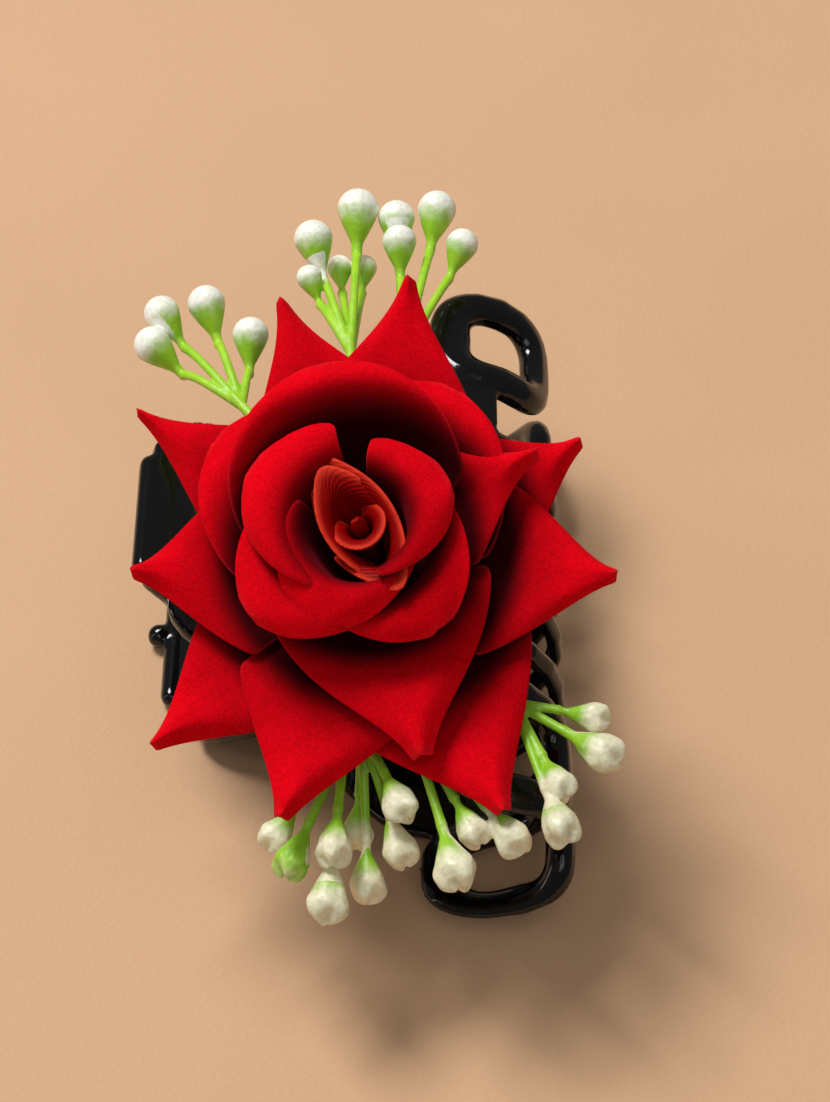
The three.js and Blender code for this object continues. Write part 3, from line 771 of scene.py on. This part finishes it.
def bud(centre, direction, size, wrinkled, seed):
    """A drop that widens out of its twig. A wrinkled one has folds and a lobed, ragged end."""
    bpy.ops.mesh.primitive_uv_sphere_add(segments=28, ring_count=22, radius=1)
    piece = bpy.context.object
    turn = Vector((0, 0, 1)).rotation_difference(direction).to_matrix()
    widest, blunt = BELL if wrinkled else DROP

    def place(p):
        up = (p.z + 1) / 2
        round_ = math.atan2(p.y, p.x)
        swell = 0.55 * min(up / widest, 1) + 0.45 * smooth(0.0, widest, up)
        past = max(0, (up - widest + ROUNDING) / (1 + ROUNDING - widest))
        r = BUD_RADIUS * swell * math.sqrt(max(0, 1 - past ** blunt))
        r = max(r, NECK_RADIUS * min(1, up * 30) * (1 - smooth(0.3, 0.5, up)))
        h = BUD_LENGTH * (up - BUD_MIDDLE)
        if wrinkled:
            lobes = math.cos(3 * round_ + seed) * smooth(0.5, 0.95, up)
            r *= 1 + 0.10 * lobes + 0.13 * noise.noise(Vector((p.x, p.y, p.z + seed)) * 2.6)
            h += 0.5 * lobes * smooth(0.7, 1, up)
        point = Vector((r * math.cos(round_), r * math.sin(round_), h))
        return (turn @ point * size + centre) * MM

    moved(piece, place)
    return piece


def spray(name, root, fork, buds, wrinkled, look):
    start = Vector(root)
    middle = Vector(fork)
    bow = start.lerp(middle, 0.55) + Vector((0, 0, 0.6))
    pieces = [stem([start, start.lerp(bow, 0.6), bow, bow.lerp(middle, 0.6), middle],
                   [STEM] * 5)]
    axes = []
    for i, (x, y, z, scale, *unripe) in enumerate(buds):
        centre = Vector((x, y, z))
        elbow = middle.lerp(centre, 0.5).lerp(start.lerp(centre, 0.78), 0.3)
        back = middle.lerp(start, 0.12)
        along = (centre - elbow).normalized()
        if not wrinkled:
            along = (along + TIPS_UP).normalized()
        neck = centre - along * NECK_BACK * scale
        pieces.append(stem([back, back.lerp(elbow, 0.5), elbow, elbow.lerp(neck, 0.5), neck],
                           [STEM * 0.9, TWIG * 1.15, TWIG, TWIG, TWIG * 1.3]))
        pieces.append(bud(centre, along, scale, wrinkled, seed=2.1 * i + root[0]))
        ripens_over = BUD_LENGTH * scale * (2 if unripe else 1)
        axes.append((centre - along * FOOT_BACK * scale, along, ripens_over))
    piece = join_all(pieces, name)
    settle(piece)
    apply_modifier(piece, "REMESH", mode="VOXEL", voxel_size=SKIN * MM)
    apply_modifier(piece, "SMOOTH", factor=0.5, iterations=3)
    ripe = piece.data.attributes.new("ripe", "FLOAT", "POINT")
    values = []
    for vertex in piece.data.vertices:
        best = 0.0
        for neck, along, length in axes:
            offset = vertex.co / MM - neck
            up = offset.dot(along)
            if (offset - along * up).length < BUD_RADIUS * 1.5 and -1 < up < length * 1.2:
                best = max(best, up / length)
        values.append(best)
    ripe.data.foreach_set("value", values)
    shade(piece)
    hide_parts(name.replace("twigs_", "spray_"))
    dress(piece, "front", "bud_plastic", look)


SPRAYS = {
    "back_left": ((-17, 6, 44.5), (-30.5, 24, 46), [
        (-42, 41, 46, 1.1), (-43, 35, 45, 1.15), (-35, 42, 47, 1.15), (-28, 36, 46, 1.1)]),
    "back": ((-10, 7, 44.5), (-12, 36, 47), [
        (-18, 56, 48, 1.2), (-18.5, 48.5, 47, 0.8), (-11, 63, 48, 1.3), (-14, 57, 41, 0.8),
        (-10, 57, 41, 0.8)]),
    "back_right": ((-4, 7, 44.5), (-3, 36, 47), [
        (-4.5, 62, 47, 1.15), (-4, 54.5, 49, 1.05), (2, 63, 48, 1.2), (6, 55, 48, 1.0)]),
    "front_left": ((-11, -22, 42), (-12, -38, 33), [
        (-21.5, -47, 28, 0.9), (-19, -52, 29, 1, "unripe"), (-14, -57.5, 27, 1.15),
        (-13.2, -51.5, 31.5, 1)]),
    "front": ((-8, -21, 42), (-9.5, -36, 34), [
        (-10, -45, 26, 0.9), (-8.5, -53, 24.5, 1), (-4, -46, 34.5, 1), (-4, -50, 29, 1)]),
    "front_middle": ((-4, -21, 42.2), (-2, -37, 38), [
        (4, -57, 34.5, 1.15), (6.5, -51, 35, 0.9), (12, -52.5, 35.5, 1)]),
    "front_right": ((-0.5, -20, 42.4), (15, -34, 39.5), [
        (24, -35, 40, 0.85), (25, -41, 40, 1.1), (19, -46.5, 40, 0.9), (19, -53.5, 40, 1.05)]),
}
for name, (root, fork, buds) in SPRAYS.items():
    wrinkled = name.startswith("front")
    spray("twigs_" + name, root, fork, buds, wrinkled, BUD_CREAM if wrinkled else BUD_FRESH)

# ---------------------------------------------------------------- the floor

bpy.ops.mesh.primitive_plane_add(size=4, location=(0, 0, -0.02 * MM))
floor = take_new("floor")
settle(floor)
floor.data.materials.append(floor_look())

start_clean()
